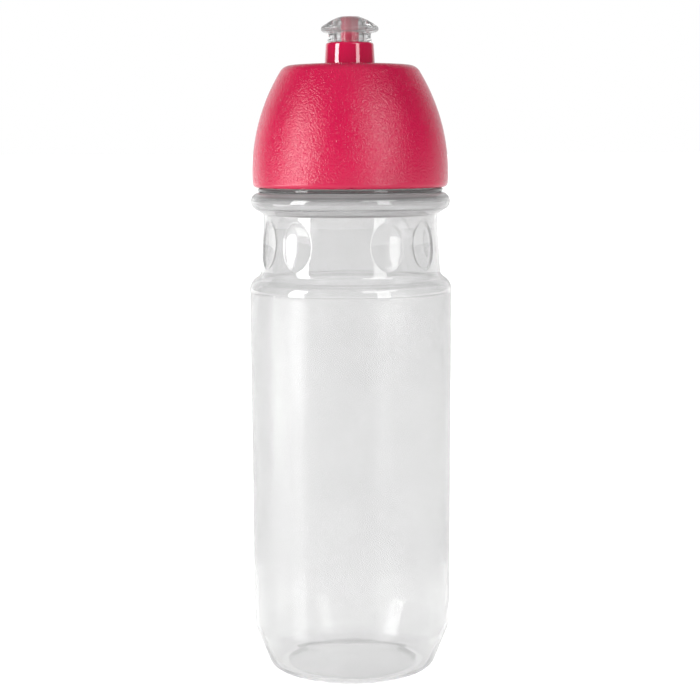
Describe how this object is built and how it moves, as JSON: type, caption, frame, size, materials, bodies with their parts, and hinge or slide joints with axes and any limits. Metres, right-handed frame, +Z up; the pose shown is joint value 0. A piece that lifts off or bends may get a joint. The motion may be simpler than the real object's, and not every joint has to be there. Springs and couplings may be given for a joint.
{
  "type": "cycling water bottle",
  "caption": "Squeezable bottle for a bicycle cage, with a dimpled waist, a domed screw cap and a push-pull mouthpiece over a fixed centre post.",
  "frame": {"origin": "centre of the standing ring under the base, on the bottle's axis", "axes": "+Z up along the bottle's axis, -Y through the plain panel of the waist between two dimples"},
  "size_m": [0.074, 0.074, 0.2392],
  "materials": {
    "clear_bottle": "clear, slightly milky polythene with a satin panel below the shoulder",
    "grained_pink": "fine leather-like mould grain",
    "gloss_pink": "polished",
    "clear_mouthpiece": "clear, polished soft plastic",
    "soft_seal": "smooth"
  },
  "bodies": {
    "bottle": {"bottle_body": "clear_bottle"},
    "gasket": {"cap_gasket": "soft_seal"},
    "cap": {"screw_cap": "grained_pink", "spout_core": "gloss_pink", "spout_seal": "soft_seal"},
    "mouthpiece": {"mouthpiece": "clear_mouthpiece"}
  },
  "joints": [
    {"name": "cap_rise", "type": "slide", "parent": "bottle", "child": "gasket", "axis": [0, 0, 1], "range_m": [0, 0.01]},
    {"name": "cap_turn", "type": "hinge", "parent": "gasket", "child": "cap", "pos_m": [0, 0, 0.178], "axis": [0, 0, 1], "range_deg": [0, 720]},
    {"name": "mouthpiece_pull", "type": "slide", "parent": "cap", "child": "mouthpiece", "axis": [0, 0, 1], "range_m": [0, 0.006]}
  ],
  "couplings": [
    {"joint": "cap_rise", "follows": "cap_turn", "m_per_rad": 0.00079577}
  ]
}
